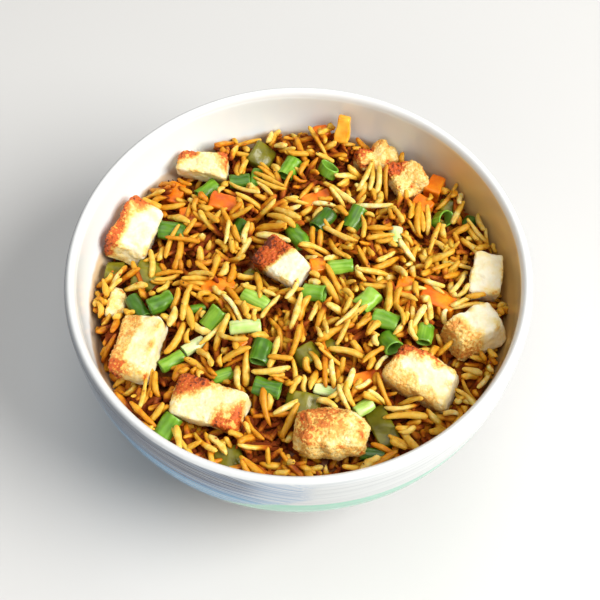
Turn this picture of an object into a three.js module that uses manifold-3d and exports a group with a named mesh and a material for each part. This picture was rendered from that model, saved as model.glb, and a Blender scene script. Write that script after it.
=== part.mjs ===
// A bowl of vegetable fried rice with fried cheese cubes, in millimetres, +Z up.
// The origin is at the centre of the foot ring, on the surface that the bowl stands on.
import * as THREE from "three";
import { mergeVertices } from "three/addons/utils/BufferGeometryUtils.js";
import Module from "manifold-3d";

const wasm = await Module();
wasm.setup();

// Bowl
const rimRadius = 80;
const bowlHeight = 68;
const wallThickness = 4.2;
const lipDepth = 3.6; // from the crown of the lip down to where the walls begin
const footOuterRadius = 39.5;
const footInnerRadius = 35.5;
const footRecess = 3;
const footRounding = 0.8;
const floorHeight = 8.5;
const outerBase = 1.5;
const outerFullness = 2.7;
const innerFullness = 2.6;
const sidesRound = 48;

// Heap of rice
const edgeLevel = 44.6;
const domeRise = 5.2;
const slopeRight = 0.025;
const slopeBack = 0.02;
const lumpHeight = 0.9;
const clumpHeight = 3.6; // of the clump against the wall at the back
const clumpAt = [12.5, 70.5];
const clumpSize = 8;
const bumpHeight = 0.75;
const fieldStep = 6;
const wallGap = 0.35;
const touchGap = 0.35;
const grainCount = 96;
const grainLength = [9.5, 13.5];
const grainWidth = 2.5;

const innerRadius = rimRadius - wallThickness;
const lipHeight = bowlHeight - lipDepth;
const heapRadius = innerRadius - 2;

// Seeded draw, so that each build gives the same heap.
function seededDraw(seed) {
  let state = seed;
  return () => {
    state = (state + 0x6d2b79f5) | 0;
    let t = Math.imul(state ^ (state >>> 15), 1 | state);
    t = (t + Math.imul(t ^ (t >>> 7), 61 | t)) ^ t;
    return ((t ^ (t >>> 14)) >>> 0) / 4294967296;
  };
}

// A point of the bowl's wall: turn runs from 0 at the rim to 90 degrees on the axis, and the
// wall is a superellipse of that fullness between them. Returns its radius and height.
function wallPoint(turn, radiusAtRim, top, base, fullness) {
  const out = Math.pow(Math.max(0, Math.cos(turn)), 2 / fullness);
  const down = Math.pow(Math.sin(turn), 2 / fullness);
  return [radiusAtRim * out, top - (top - base) * down];
}

const quarterTurn = Math.PI / 2;
const outerPoint = (turn) => wallPoint(turn, rimRadius, lipHeight, outerBase, outerFullness);
const innerPoint = (turn) => wallPoint(turn, innerRadius, lipHeight, floorHeight, innerFullness);

// Top of the heap above the plan point x, y: a low dome, higher at the back right, with lumps.
function heapTop(x, y) {
  const share = (x * x + y * y) / (innerRadius * innerRadius);
  const lumps = Math.sin(0.13 * x + 0.4) * Math.cos(0.11 * y - 0.9) + 0.6 * Math.sin(0.21 * y - 0.17 * x + 1.3);
  const fromClump = Math.hypot(x - clumpAt[0], y - clumpAt[1]) / clumpSize;
  const clump = clumpHeight * Math.exp((-fromClump * fromClump) / 2);
  return edgeLevel + domeRise * (1 - share) + slopeRight * x + slopeBack * y + lumpHeight * lumps + clump;
}

// Only positions, with shared corners merged and triangles of no area dropped.
function closedGeometry(geometry) {
  const bare = geometry.clone();
  bare.deleteAttribute("normal");
  bare.deleteAttribute("uv");
  const merged = mergeVertices(bare, 1e-4);
  const kept = [];
  const index = merged.getIndex().array;
  for (let i = 0; i < index.length; i += 3) {
    const [a, b, c] = [index[i], index[i + 1], index[i + 2]];
    if (a !== b && b !== c && c !== a) kept.push(a, b, c);
  }
  merged.setIndex(kept);
  return merged;
}

function solidFrom(geometry) {
  const closed = closedGeometry(geometry);
  return new wasm.Manifold(new wasm.Mesh({
    numProp: 3,
    vertProperties: new Float32Array(closed.getAttribute("position").array),
    triVerts: new Uint32Array(closed.getIndex().array),
  }));
}

function geometryFrom(solid) {
  const mesh = solid.getMesh();
  const geometry = new THREE.BufferGeometry();
  geometry.setAttribute("position", new THREE.BufferAttribute(new Float32Array(mesh.vertProperties), 3));
  geometry.setIndex(new THREE.BufferAttribute(new Uint32Array(mesh.triVerts), 1));
  return geometry;
}

// The largest body of a solid, without loose scraps.
function mainBody(solid) {
  const bodies = solid.decompose();
  bodies.sort((a, b) => b.volume() - a.volume());
  return bodies[0];
}

// Profile turned round the Z axis; its points are [radius, height] pairs.
function turned(profile, sides = sidesRound) {
  const points = profile.map(([radius, height]) => new THREE.Vector2(radius, height));
  return new THREE.LatheGeometry(points, sides).rotateX(Math.PI / 2);
}

function range(count) {
  return Array.from({ length: count }, (_, i) => i);
}

const innerTurns = range(10).map((i) => quarterTurn * (i / 9));

function bowlGeometry() {
  const halfWall = (rimRadius - innerRadius) / 2;
  const footTurn = Math.acos(Math.pow(footOuterRadius / rimRadius, outerFullness / 2));
  const outer = range(8).map((i) => outerPoint(footTurn * (1 - i / 7)));
  const lip = range(5).map((i) => {
    const turn = (Math.PI * (i + 1)) / 6;
    return [rimRadius - halfWall + halfWall * Math.cos(turn), lipHeight + lipDepth * Math.sin(turn)];
  });
  return turned([
    [0, footRecess],
    [footInnerRadius, footRecess],
    [footInnerRadius + footRounding, 0],
    [footOuterRadius - footRounding, 0],
    ...outer,
    ...lip,
    ...innerTurns.map(innerPoint),
  ]);
}

// The room inside the bowl, short of its wall, as one closed shape.
function bowlRoom() {
  const wall = innerTurns.toReversed().map((turn) => {
    const [radius, height] = innerPoint(turn);
    return [Math.max(0, radius - wallGap), height + wallGap];
  });
  return solidFrom(turned([...wall, [0, lipHeight + wallGap]]));
}

// A block whose top follows the heap, raised by lift, with seeded bumps of a grain's size.
function heapField(lift) {
  const draw = seededDraw(41);
  const cells = Math.round((2 * rimRadius) / fieldStep);
  const geometry = closedGeometry(new THREE.BoxGeometry(2 * rimRadius, 2 * rimRadius, 2, cells, cells, 1));
  const position = geometry.getAttribute("position");
  for (let i = 0; i < position.count; i += 1) {
    const x = position.getX(i);
    const y = position.getY(i);
    const bump = bumpHeight * (2 * draw() - 1);
    const top = heapTop(x, y) + bump + lift;
    position.setZ(i, position.getZ(i) > 0 ? top : 1);
  }
  return solidFrom(geometry);
}

// Corner and edge rounding of a block: points go onto a superellipsoid of the given squareness.
function roundedBlock([length, width, height], squareness, steps, roughness, seed) {
  const draw = seededDraw(seed);
  const geometry = closedGeometry(new THREE.BoxGeometry(2, 2, 2, ...steps));
  const position = geometry.getAttribute("position");
  for (let i = 0; i < position.count; i += 1) {
    const point = new THREE.Vector3().fromBufferAttribute(position, i);
    const sum = [point.x, point.y, point.z].reduce((total, v) => total + Math.pow(Math.abs(v), squareness), 0);
    point.multiplyScalar(Math.pow(sum, -1 / squareness));
    const rough = 1 + roughness * (2 * draw() - 1);
    position.setXYZ(i, (point.x * rough * length) / 2, (point.y * rough * width) / 2, (point.z * rough * height) / 2);
  }
  return geometry;
}

// Fried cheese: a soft-cornered cube or slab with a slightly uneven crust.
function cheeseShape({ size, seed, round = 5 }, extra) {
  return roundedBlock(size.map((side) => side + extra), round, [3, 3, 2], 0.035, seed);
}

// Carrot: a cut piece with flat sides and nearly sharp edges, narrower at one end.
function carrotShape({ size, seed }, extra) {
  const geometry = roundedBlock(size.map((side) => side + extra), 12, [2, 2, 2], 0.03, seed);
  const position = geometry.getAttribute("position");
  for (let i = 0; i < position.count; i += 1) {
    const taper = 1 - 0.18 * (position.getX(i) / size[0]);
    position.setXYZ(i, position.getX(i), position.getY(i) * taper, position.getZ(i) * taper);
  }
  return geometry;
}

// Green pepper: a thick skin cut square and bowed along its length.
function pepperShape({ size, bow = 1.6, seed }, extra) {
  const geometry = roundedBlock(size.map((side) => side + extra), 10, [4, 2, 1], 0.02, seed);
  const position = geometry.getAttribute("position");
  for (let i = 0; i < position.count; i += 1) {
    const along = (2 * position.getX(i)) / size[0];
    position.setZ(i, position.getZ(i) - bow * along * along);
  }
  return geometry;
}

// Spring onion: a short tube along X, pressed to an oval; solid where it only keeps room.
function onionShape({ long, wide, flat = 0.72, wall = 0.8 }, extra) {
  const half = (long + extra) / 2;
  const outer = (wide + extra) / 2;
  const inner = outer - wall;
  const profile = extra > 0
    ? [[0, -half], [outer, -half], [outer, half], [0, half]]
    : [[inner, -half], [outer, -half], [outer, half], [inner, half], [inner, -half]];
  return turned(profile, 8).scale(flat, 1, 1).rotateY(quarterTurn);
}

// One grain of long rice along X: a spindle of five sides, bowed a little.
function grainShape(length, width, bow) {
  const share = [[0, -0.5], [0.4, -0.34], [0.5, 0], [0.4, 0.34], [0, 0.5]];
  const geometry = closedGeometry(turned(share.map(([r, along]) => [r * width, along * length]), 5));
  geometry.rotateY(quarterTurn);
  const position = geometry.getAttribute("position");
  for (let i = 0; i < position.count; i += 1) {
    const along = position.getX(i) / length;
    position.setY(i, position.getY(i) + bow * 4 * along * along);
  }
  return geometry;
}

// Places of the toppings: at is x, y in plan, turn is about Z, pitch lifts the far end and
// roll turns about the length, in degrees; lift is the middle's height above the heap.
const cheeseCubes = {
  cheese_back_left: { at: [-35.2, 54.9], size: [19.5, 9.5, 9], turn: -9, roll: 16, lift: 4.4 },
  cheese_left_upper: { at: [-59.2, 26.8], size: [23, 15, 11.5], turn: 68, roll: 12, lift: 3.6 },
  cheese_left_lower: { at: [-56, -22.5], size: [24, 15, 9.5], turn: 78, roll: -10, lift: 3 },
  cheese_front_left: { at: [-29.5, -43.5], size: [26, 15, 8], turn: -19, roll: 10, lift: 3 },
  cheese_centre: { at: [-6, 11], size: [18.5, 12.5, 11.5], turn: -42, roll: 14, pitch: 6, lift: 3.6 },
  cheese_back_right: { at: [28.5, 59.8], size: [16, 9.5, 8], turn: 12, roll: 14, lift: 2.4 },
  cheese_back_right_small: { at: [39.4, 48.8], size: [13.5, 14, 9], turn: 30, roll: 10, lift: 2.8, round: 3.6 },
  cheese_right_upper: { at: [66.4, 7.2], size: [17, 10.5, 9], turn: 80, pitch: 12, lift: 3.2, round: 7 },
  cheese_right_lower: { at: [60.5, -16], size: [20, 13.5, 11.5], turn: 28, roll: -8, lift: 3.4 },
  cheese_front_right: { at: [42, -34], size: [24, 15.5, 12.5], turn: -31, roll: 12, lift: 3.8 },
  cheese_front: { at: [11.5, -54.5], size: [25, 16.5, 12], turn: -4, lift: 3.4, round: 2.9 },
  cheese_flake: { at: [-65, -1], size: [12, 6.5, 3.2], turn: 82, roll: 14, lift: 1.6, round: 3.4 },
};

const carrotPieces = {
  carrot_back: { at: [16.6, 67.6], size: [9.5, 5, 4.8], turn: 78, pitch: 60, lift: 6.4 },
  carrot_left_outer: { at: [-46.5, 45], size: [9.5, 7, 6], turn: 70, lift: 0.1 },
  carrot_left_inner: { at: [-27.6, 38.2], size: [10.5, 7, 6], turn: -18, lift: 0.5 },
  carrot_middle_left: { at: [-28.6, 2.8], size: [12, 5.5, 5], turn: 12, lift: 0.1 },
  carrot_back_right_outer: { at: [50.6, 46.2], size: [8, 6, 6.5], turn: 62, lift: 1.3 },
  carrot_back_right_inner: { at: [45.4, 37.4], size: [7, 6, 5.5], turn: -38, lift: 0.5 },
  carrot_right: { at: [49, -2.5], size: [13, 7.5, 6], turn: -26, lift: 0.2 },
  carrot_right_inner: { at: [37.4, 2], size: [9.5, 6, 5.5], turn: 75, lift: -0.1 },
  carrot_centre: { at: [7, 9.6], size: [5.6, 5.6, 5], turn: 8, lift: 0.3 },
  carrot_left_lower: { at: [-39.4, 34.4], size: [9, 6.5, 5.5], turn: 10, lift: 0.3 },
  carrot_middle_back: { at: [6.5, 40.5], size: [11.5, 5, 5], turn: 26, lift: -0.2 },
  carrot_front: { at: [23.5, -33.5], size: [11, 5, 5], turn: 20, lift: -0.2 },
};

const pepperPieces = {
  pepper_back: { at: [-13.8, 62], size: [10.5, 9, 3.2], turn: 66, roll: 30, lift: 2.4 },
  pepper_left: { at: [-54, 9.6], size: [12, 9.5, 3.2], turn: 72, roll: 12, lift: 1.4 },
  pepper_left_edge: { at: [-66.5, 12], size: [8.5, 6.5, 3], turn: 84, lift: 1.1 },
  pepper_centre: { at: [3, -24.5], size: [8.5, 7, 3], turn: 34, roll: 10, lift: 1.1 },
  pepper_front_left: { at: [-23, -61], size: [9.5, 8, 3.2], turn: 12, roll: 10, lift: 1.5 },
  pepper_front: { at: [1.5, -42.5], size: [12, 8, 3], turn: -12, roll: 12, lift: 1 },
  pepper_right: { at: [55.2, 38.2], size: [7, 5, 3], turn: -22, roll: 16, lift: 1.4 },
  pepper_front_right: { at: [28, -50], size: [15, 7.5, 3.2], turn: -66, roll: 14, lift: 1.5 },
};

const onionRings = {
  onion_back_left: { at: [-34, 45.6], long: 8, wide: 6, turn: 42 },
  onion_back_dark: { at: [-22, 48.6], long: 7, wide: 5.6, turn: 6 },
  onion_back: { at: [-3.5, 54], long: 8, wide: 6.6, turn: 62 },
  onion_back_hoop: { at: [11, 53], long: 3.4, wide: 7.6, turn: 40, pitch: 58, lift: 2.6 },
  onion_left_large: { at: [-46, 26.6], long: 9, wide: 7.4, turn: -10 },
  onion_centre_dark: { at: [-0.4, 22.6], long: 8.5, wide: 6.2, turn: -58 },
  onion_middle_back: { at: [9, 30.4], long: 8.5, wide: 6.2, turn: 52 },
  onion_middle_open: { at: [20.5, 31], long: 8.5, wide: 6.6, turn: 60, pitch: 18 },
  onion_pale_right: { at: [35, 23], long: 6.5, wide: 5.2, turn: 88 },
  onion_right_hoop: { at: [52.6, 31.2], long: 4.2, wide: 7.8, turn: -30, pitch: 56, lift: 2.8 },
  onion_centre_right: { at: [14.8, 9.2], long: 8.6, wide: 5.4, turn: 6 },
  onion_centre_open: { at: [5.4, -1.4], long: 7.5, wide: 6.4, turn: -14, pitch: 14 },
  onion_centre_left: { at: [-15, -3.5], long: 10, wide: 5.8, turn: -32 },
  onion_left_dark: { at: [-56.8, -4.4], long: 9.5, wide: 5.4, turn: -56 },
  onion_left_square: { at: [-48.5, -3.5], long: 8.5, wide: 6.6, turn: 28 },
  onion_middle_left_open: { at: [-29.4, -10.6], long: 7.5, wide: 7.2, turn: 48, pitch: 26 },
  onion_striped: { at: [-18.5, -14.5], long: 10.5, wide: 5.2, turn: 7 },
  onion_slice_green: { at: [-43.6, -25.4], long: 8.6, wide: 4.8, turn: 34 },
  onion_slice_pale: { at: [-36.2, -20], long: 7.8, wide: 4.4, turn: 36 },
  onion_front_upper: { at: [-13, -24], long: 8, wide: 6.8, turn: 74 },
  onion_front_middle: { at: [-10.5, -37.5], long: 8.8, wide: 6.6, turn: -16 },
  onion_front_left: { at: [-43.6, -49.8], long: 7.5, wide: 6.8, turn: 54, pitch: 20 },
  onion_right_pale: { at: [24, -4.6], long: 8, wide: 7.2, turn: 48 },
  onion_right_green: { at: [30.2, -12], long: 8.8, wide: 6.6, turn: -22 },
  onion_right_open: { at: [31.2, -20.7], long: 7.6, wide: 6.8, turn: -66, pitch: 26 },
  onion_right_small: { at: [43.6, -17.2], long: 6.4, wide: 6.2, turn: 78 },
};

// Smaller pieces, which are joined to the rice that they lie on.
const onionScraps = {
  edge: { at: [62.5, 31], long: 5, wide: 5, turn: 60 },
  back: { at: [-16.4, 50], long: 8, wide: 4, turn: 76 },
  middle: { at: [-22, 28], long: 6, wide: 5, turn: 70 },
  left: { at: [-36, -5.6], long: 6.5, wide: 3.4, turn: 10 },
  curl: { at: [-26, -31.5], long: 7, wide: 4.6, turn: 22 },
  frontRight: { at: [22, -44], long: 6.5, wide: 4.8, turn: 34 },
  frontEdge: { at: [24.5, -60], long: 7.5, wide: 4.6, turn: -6 },
  frontPale: { at: [9, -37.6], long: 7, wide: 4, turn: -16 },
};

const carrotScraps = {
  back: { at: [8.6, 69], size: [6, 5, 5], turn: 20, lift: 0.8 },
  frontLeft: { at: [-19.4, -20], size: [4.2, 3.6, 3.4], turn: 35, lift: 0.6 },
};

const pepperScraps = {
  left: { at: [-17.4, 8.2], size: [4.4, 3.4, 2.4], turn: 40, bow: 0.3, lift: 0.5 },
  front: { at: [10.9, -20.6], size: [6, 4.4, 2.4], turn: -30, bow: 0.5, lift: 0.5 },
};

const toRadians = THREE.MathUtils.degToRad;

// Where a topping lies: its middle is lift above the heap, or a share of its height where unsaid.
function pose({ at, turn = 0, pitch = 0, roll = 0, lift }, restLift) {
  const height = heapTop(at[0], at[1]) + (lift ?? restLift);
  const turns = new THREE.Euler(toRadians(roll), -toRadians(pitch), toRadians(turn), "ZYX");
  return new THREE.Matrix4().compose(
    new THREE.Vector3(at[0], at[1], height),
    new THREE.Quaternion().setFromEuler(turns),
    new THREE.Vector3(1, 1, 1),
  );
}

const finishes = {
  glaze: new THREE.MeshStandardMaterial({ color: 0xf1f2ee, roughness: 0.12, metalness: 0 }),
  rice: new THREE.MeshStandardMaterial({ color: 0xe0a544, roughness: 0.45, metalness: 0 }),
  cheese: new THREE.MeshStandardMaterial({ color: 0xf4dfae, roughness: 0.5, metalness: 0 }),
  carrot: new THREE.MeshStandardMaterial({ color: 0xe26c10, roughness: 0.4, metalness: 0 }),
  pepper: new THREE.MeshStandardMaterial({ color: 0x86801c, roughness: 0.4, metalness: 0 }),
  onion: new THREE.MeshStandardMaterial({ color: 0x4f9a2a, roughness: 0.4, metalness: 0 }),
};

// The kinds of topping: their places, shape, material and how high the middle rests.
const kinds = [
  { places: cheeseCubes, shape: cheeseShape, material: finishes.cheese, rest: () => 3 },
  { places: carrotPieces, shape: carrotShape, material: finishes.carrot, rest: () => 1 },
  { places: pepperPieces, shape: pepperShape, material: finishes.pepper, rest: () => 1 },
  { places: onionRings, shape: onionShape, material: finishes.onion, rest: (place) => 0.33 * place.wide },
];

// Each topping is cut to the bare heap below it, and its mesh keeps its own place and turn.
function toppingMeshes(underside) {
  let seed = 100;
  return kinds.flatMap(({ places, shape, material, rest }) => Object.entries(places).map(([name, place]) => {
    seed += 1;
    const matrix = pose(place, rest(place));
    const whole = solidFrom(shape({ ...place, seed }, 0).applyMatrix4(matrix));
    const cut = mainBody(whole.subtract(underside));
    const mesh = new THREE.Mesh(geometryFrom(cut).applyMatrix4(matrix.clone().invert()), material);
    mesh.name = name;
    matrix.decompose(mesh.position, mesh.quaternion, mesh.scale);
    return mesh;
  }));
}

// The room that the toppings take, a gap wider all round.
function toppingRoom() {
  let seed = 100;
  const rooms = kinds.flatMap(({ places, shape, rest }) => Object.values(places).map((place) => {
    seed += 1;
    return solidFrom(shape({ ...place, seed }, 2 * touchGap).applyMatrix4(pose(place, rest(place))));
  }));
  return wasm.Manifold.union(rooms);
}

const sliver = 0.001; // added to a scrap of onion, which makes it solid

const scrapKinds = [
  { places: onionScraps, shape: onionShape, extra: sliver, rest: (place) => 0.2 * place.wide },
  { places: carrotScraps, shape: carrotShape, extra: 0, rest: () => 0 },
  { places: pepperScraps, shape: pepperShape, extra: 0, rest: () => 0 },
];

// Grains and scraps joined to the core, spread on a sunflower spiral from the rim inwards;
// one that would cross a topping or the bowl is turned once and then left out.
function heapSolid(core, keepClear, room) {
  const draw = seededDraw(7);
  const joined = [core];
  scrapKinds.forEach(({ places, shape, extra, rest }) => {
    Object.values(places).forEach((place, seed) => {
      const scrap = solidFrom(shape({ ...place, seed }, extra).applyMatrix4(pose(place, rest(place))));
      if (scrap.intersect(keepClear).isEmpty()) joined.push(scrap);
    });
  });
  const goldenAngle = Math.PI * (3 - Math.sqrt(5));
  for (let i = 0; i < grainCount; i += 1) {
    const out = (heapRadius - 1) * Math.sqrt((i + 0.5) / grainCount);
    const round = i * goldenAngle;
    const [x, y] = [out * Math.cos(round), out * Math.sin(round)];
    const length = grainLength[0] + (grainLength[1] - grainLength[0]) * draw();
    const bow = 0.9 * (2 * draw() - 1);
    const tries = range(3).map(() => ({
      at: [x, y],
      turn: 360 * draw(),
      pitch: 16 * (2 * draw() - 1),
      lift: 0.35 + 0.5 * draw(),
    }));
    const grain = tries
      .map((place) => solidFrom(grainShape(length, grainWidth, bow).applyMatrix4(pose(place, 0))))
      .find((solid) => solid.intersect(keepClear).isEmpty() && solid.subtract(room).isEmpty());
    if (grain) joined.push(grain);
  }
  return mainBody(wasm.Manifold.union(joined));
}

const room = bowlRoom();
const core = heapField(0).intersect(room);

const bowl = new THREE.Mesh(bowlGeometry(), finishes.glaze);
bowl.name = "bowl";

const rice = new THREE.Mesh(geometryFrom(heapSolid(core, toppingRoom(), room)), finishes.rice);
rice.name = "rice_heap";

const toppings = new THREE.Group();
toppings.add(...toppingMeshes(heapField(touchGap)));

const dish = new THREE.Group();
dish.add(bowl, rice, toppings);

export default dish;
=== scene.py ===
import math
import bpy
import numpy as np
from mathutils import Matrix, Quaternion, Vector


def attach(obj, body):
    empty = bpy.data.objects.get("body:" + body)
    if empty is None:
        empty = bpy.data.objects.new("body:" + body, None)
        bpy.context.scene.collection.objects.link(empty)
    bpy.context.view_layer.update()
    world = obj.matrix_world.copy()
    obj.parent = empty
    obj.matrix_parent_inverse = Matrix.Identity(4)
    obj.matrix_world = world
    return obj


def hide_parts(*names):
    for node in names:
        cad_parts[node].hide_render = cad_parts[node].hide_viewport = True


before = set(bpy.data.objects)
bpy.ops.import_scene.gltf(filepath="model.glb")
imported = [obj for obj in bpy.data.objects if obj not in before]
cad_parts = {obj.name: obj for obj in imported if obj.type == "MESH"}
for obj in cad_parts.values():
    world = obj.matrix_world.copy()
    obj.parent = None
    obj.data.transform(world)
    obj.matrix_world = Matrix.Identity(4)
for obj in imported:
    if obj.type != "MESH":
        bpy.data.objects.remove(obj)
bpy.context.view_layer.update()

mm = 0.001
quarterTurn = math.pi / 2

# Camera

view = {
    "middle": (0, 0, 68 * mm),  # of the rim
    "distance": 420 * mm,  # from there
    "elevation": 57.75,  # degrees above the table
    "focal": 74.0,  # mm on film 36 mm wide
    "aim": (0.5 * mm, -13.6 * mm, 68 * mm),
    "roll": 0.25,  # degrees
}


def addAimed(name, data, spot, turn):  # a camera or a lamp
    thing = bpy.data.objects.new(name, data)
    thing.location = spot
    thing.rotation_mode = "QUATERNION"
    thing.rotation_quaternion = turn
    bpy.context.scene.collection.objects.link(thing)
    return thing


def addCamera():
    rise = math.radians(view["elevation"])
    spot = Vector(view["middle"]) + view["distance"] * Vector((0, -math.cos(rise), math.sin(rise)))
    aim = Vector(view["aim"]) - spot
    data = bpy.data.cameras.new("camera")
    data.lens = view["focal"]
    data.sensor_width = 36
    data.clip_start = 0.01
    turn = aim.to_track_quat("-Z", "Y") @ Quaternion((0, 0, 1), math.radians(view["roll"]))
    bpy.context.scene.camera = addAimed("camera", data, spot, turn)


addCamera()
print("camera is set")

# Shader wrapping: an output socket on which + - * write Math nodes


class Flow:
    def __init__(self, finish, socket):
        self.finish = finish
        self.socket = socket

    def math(self, operation, *others):
        settings = {"operation": operation}
        return self.finish.node("ShaderNodeMath", settings, dict(enumerate((self,) + others)))

    def __add__(self, other):
        return self.math("ADD", other)

    def __sub__(self, other):
        return self.math("SUBTRACT", other)

    def __rsub__(self, other):
        return self.finish.node("ShaderNodeMath", {"operation": "SUBTRACT"}, {0: other, 1: self})

    def __mul__(self, other):
        return self.math("MULTIPLY", other)

    __radd__ = __add__

    def between(self, low, high):  # 0 below low, 1 above high, smooth between them
        inputs = {0: self, 1: low, 2: high}
        return self.finish.node("ShaderNodeMapRange", {"interpolation_type": "SMOOTHSTEP"}, inputs)


class Finish:  # one material with its Principled shader
    def __init__(self, name, **constants):
        self.material = bpy.data.materials.new(name)
        self.material.use_nodes = True
        self.tree = self.material.node_tree
        self.shader = self.tree.nodes["Principled BSDF"]
        self.set(**constants)

    def put(self, socket, value):
        if isinstance(value, Flow):
            self.tree.links.new(value.socket, socket)
        elif isinstance(value, tuple) and len(value) == 3 and socket.type == "RGBA":
            socket.default_value = (*value, 1)
        else:
            socket.default_value = value

    def set(self, **values):
        for name, value in values.items():
            self.put(self.shader.inputs[socketNames[name]], value)

    def node(self, kind, settings=None, inputs=None, output=0):
        node = self.tree.nodes.new(kind)
        for name, value in (settings or {}).items():
            if name == "stops":
                self.setStops(node.color_ramp, value)
            else:
                setattr(node, name, value)
        for key, value in (inputs or {}).items():
            self.put(node.inputs[key], value)
        return Flow(self, node.outputs[output])

    def setStops(self, ramp, stops):
        while len(ramp.elements) < len(stops):
            ramp.elements.new(0.5)
        for element, (place, colour) in zip(ramp.elements, stops):
            element.position = place
            element.color = (*colour, 1)

    def ramp(self, value, stops):
        return self.node("ShaderNodeValToRGB", {"stops": stops}, {0: value})

    def mix(self, factor, first, second, blend="MIX"):
        settings = {"data_type": "RGBA", "blend_type": blend}
        return self.node("ShaderNodeMix", settings, {0: factor, 6: first, 7: second}, 2)

    def place(self):  # the point on the piece, in metres
        return self.node("ShaderNodeTexCoord", output=3)

    def axes(self):  # x, y and z of the point on the piece
        node = self.node("ShaderNodeSeparateXYZ", {}, {0: self.place()}).socket.node
        return tuple(Flow(self, node.outputs[i]) for i in range(3))

    def noise(self, scale, detail=2.0, at=None):
        spot = self.node("ShaderNodeCombineXYZ", {}, dict(enumerate(at))) if at else self.place()
        return self.node("ShaderNodeTexNoise", {}, {"Vector": spot, "Scale": scale, "Detail": detail})

    def attribute(self, name):
        return self.node("ShaderNodeAttribute", {"attribute_name": name}, output=2)

    def bump(self, height, strength, distance):
        inputs = {"Height": height, "Strength": strength, "Distance": distance}
        self.set(normal=self.node("ShaderNodeBump", {}, inputs))


socketNames = {
    "colour": "Base Color",
    "rough": "Roughness",
    "normal": "Normal",
    "coat": "Coat Weight",
    "coatRough": "Coat Roughness",
    "under": "Subsurface Weight",
    "underRadius": "Subsurface Radius",
    "underScale": "Subsurface Scale",
    "specular": "Specular IOR Level",
}

# Mesh making


# Quads of a grid, row by row. A closed grid joins its last column to its first.
def gridQuads(rows, cols, closed=False):
    row = np.arange(rows - 1)[:, None]
    col = np.arange(cols if closed else cols - 1)[None, :]
    right = (col + 1) % cols
    corners = (row * cols + col, row * cols + right, (row + 1) * cols + right, (row + 1) * cols + col)
    return np.stack([np.broadcast_to(c, (rows - 1, col.shape[1])) for c in corners], -1).reshape(-1, 4)


def circle(steps):  # angles of even steps once round
    return np.linspace(0, 2 * math.pi, steps, endpoint=False)


def fan(ring, pole, flip):  # triangles from a closed ring of point numbers to a pole
    after = np.roll(ring, -1)
    around = (after, ring) if flip else (ring, after)
    return np.stack([*around, np.full(len(ring), pole)], -1)


def makePiece(name, points, quads, triangles, material, node, layers=None):  # points in mm
    quads = np.asarray(quads, dtype=np.int32).reshape(-1, 4)
    triangles = np.asarray(triangles, dtype=np.int32).reshape(-1, 3)
    mesh = bpy.data.meshes.new(name)
    mesh.vertices.add(len(points))
    mesh.vertices.foreach_set("co", np.asarray(points * mm, dtype=np.float32).ravel())
    corners = np.concatenate([quads.ravel(), triangles.ravel()])
    mesh.loops.add(len(corners))
    mesh.loops.foreach_set("vertex_index", corners)
    starts = np.concatenate([np.arange(len(quads)) * 4, len(quads) * 4 + np.arange(len(triangles)) * 3])
    mesh.polygons.add(len(starts))
    mesh.polygons.foreach_set("loop_start", starts.astype(np.int32))
    mesh.polygons.foreach_set("use_smooth", np.ones(len(starts), dtype=bool))
    for key, values in (layers or {}).items():
        layer = mesh.attributes.new(key, "FLOAT", "POINT")
        layer.data.foreach_set("value", np.asarray(values, dtype=np.float32).ravel())
    mesh.update(calc_edges=True)
    mesh.validate()
    mesh.materials.append(material)
    piece = bpy.data.objects.new(name, mesh)
    bpy.context.scene.collection.objects.link(piece)
    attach(piece, "root")
    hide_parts(node)


def wobble(points, size, seed, waves=9):  # sum of sine waves of random direction, about -1 to 1
    draw = np.random.default_rng(seed)
    ways = draw.normal(size=(waves, 3))
    ways /= np.linalg.norm(ways, axis=1, keepdims=True)
    pitch = 2 * math.pi / (size * draw.uniform(0.7, 1.5, waves))
    shift = draw.uniform(0, 2 * math.pi, waves)
    return np.sin(points @ (ways * pitch[:, None]).T + shift).sum(-1) / math.sqrt(waves)


def turned(profile, around):  # profile of (radius, height) turned about Z; an end on the axis becomes a pole
    profile = np.asarray(profile)
    inner = profile[1:-1]
    angle = circle(around)
    rings = np.stack([
        inner[:, :1] * np.cos(angle),
        inner[:, :1] * np.sin(angle),
        np.broadcast_to(inner[:, 1:], (len(inner), around)),
    ], -1).reshape(-1, 3)
    poles = np.array([[0, 0, profile[0, 1]], [0, 0, profile[-1, 1]]])
    count = len(rings)
    triangles = np.concatenate([
        fan(np.arange(around), count, True),
        fan(np.arange(around) + count - around, count + 1, False),
    ])
    return np.concatenate([rings, poles]), gridQuads(len(inner), around, True), triangles


# Bowl

bowl = {
    "rim": 80.0,
    "height": 68.0,
    "wall": 4.2,
    "lipDepth": 3.6,  # from the crown of the lip down to where the walls begin
    "footOuter": 39.5,
    "footInner": 35.5,
    "footRounding": 0.8,
    "recess": 3.0,
    "floor": 8.5,
    "base": 1.5,
    "outerFullness": 2.7,
    "innerFullness": 2.6,
    "around": 300,
}
innerRim = bowl["rim"] - bowl["wall"]
lipHeight = bowl["height"] - bowl["lipDepth"]


# Radius falls as cos(turn) and depth grows as sin(turn), each to the power 2 / fullness.
def wallPoints(turn, rim, base, fullness):
    out = np.maximum(0, np.cos(turn)) ** (2 / fullness)
    down = np.sin(turn) ** (2 / fullness)
    return np.stack([rim * out, lipHeight - (lipHeight - base) * down], -1)


def innerWall(turn):
    return wallPoints(turn, innerRim, bowl["floor"], bowl["innerFullness"])


def innerRadiusAt(height):  # radius of the inner wall at a height in mm
    turns = np.linspace(0, quarterTurn, 400)
    wall = innerWall(turns)
    return np.interp(height, wall[::-1, 1], wall[::-1, 0])


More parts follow.
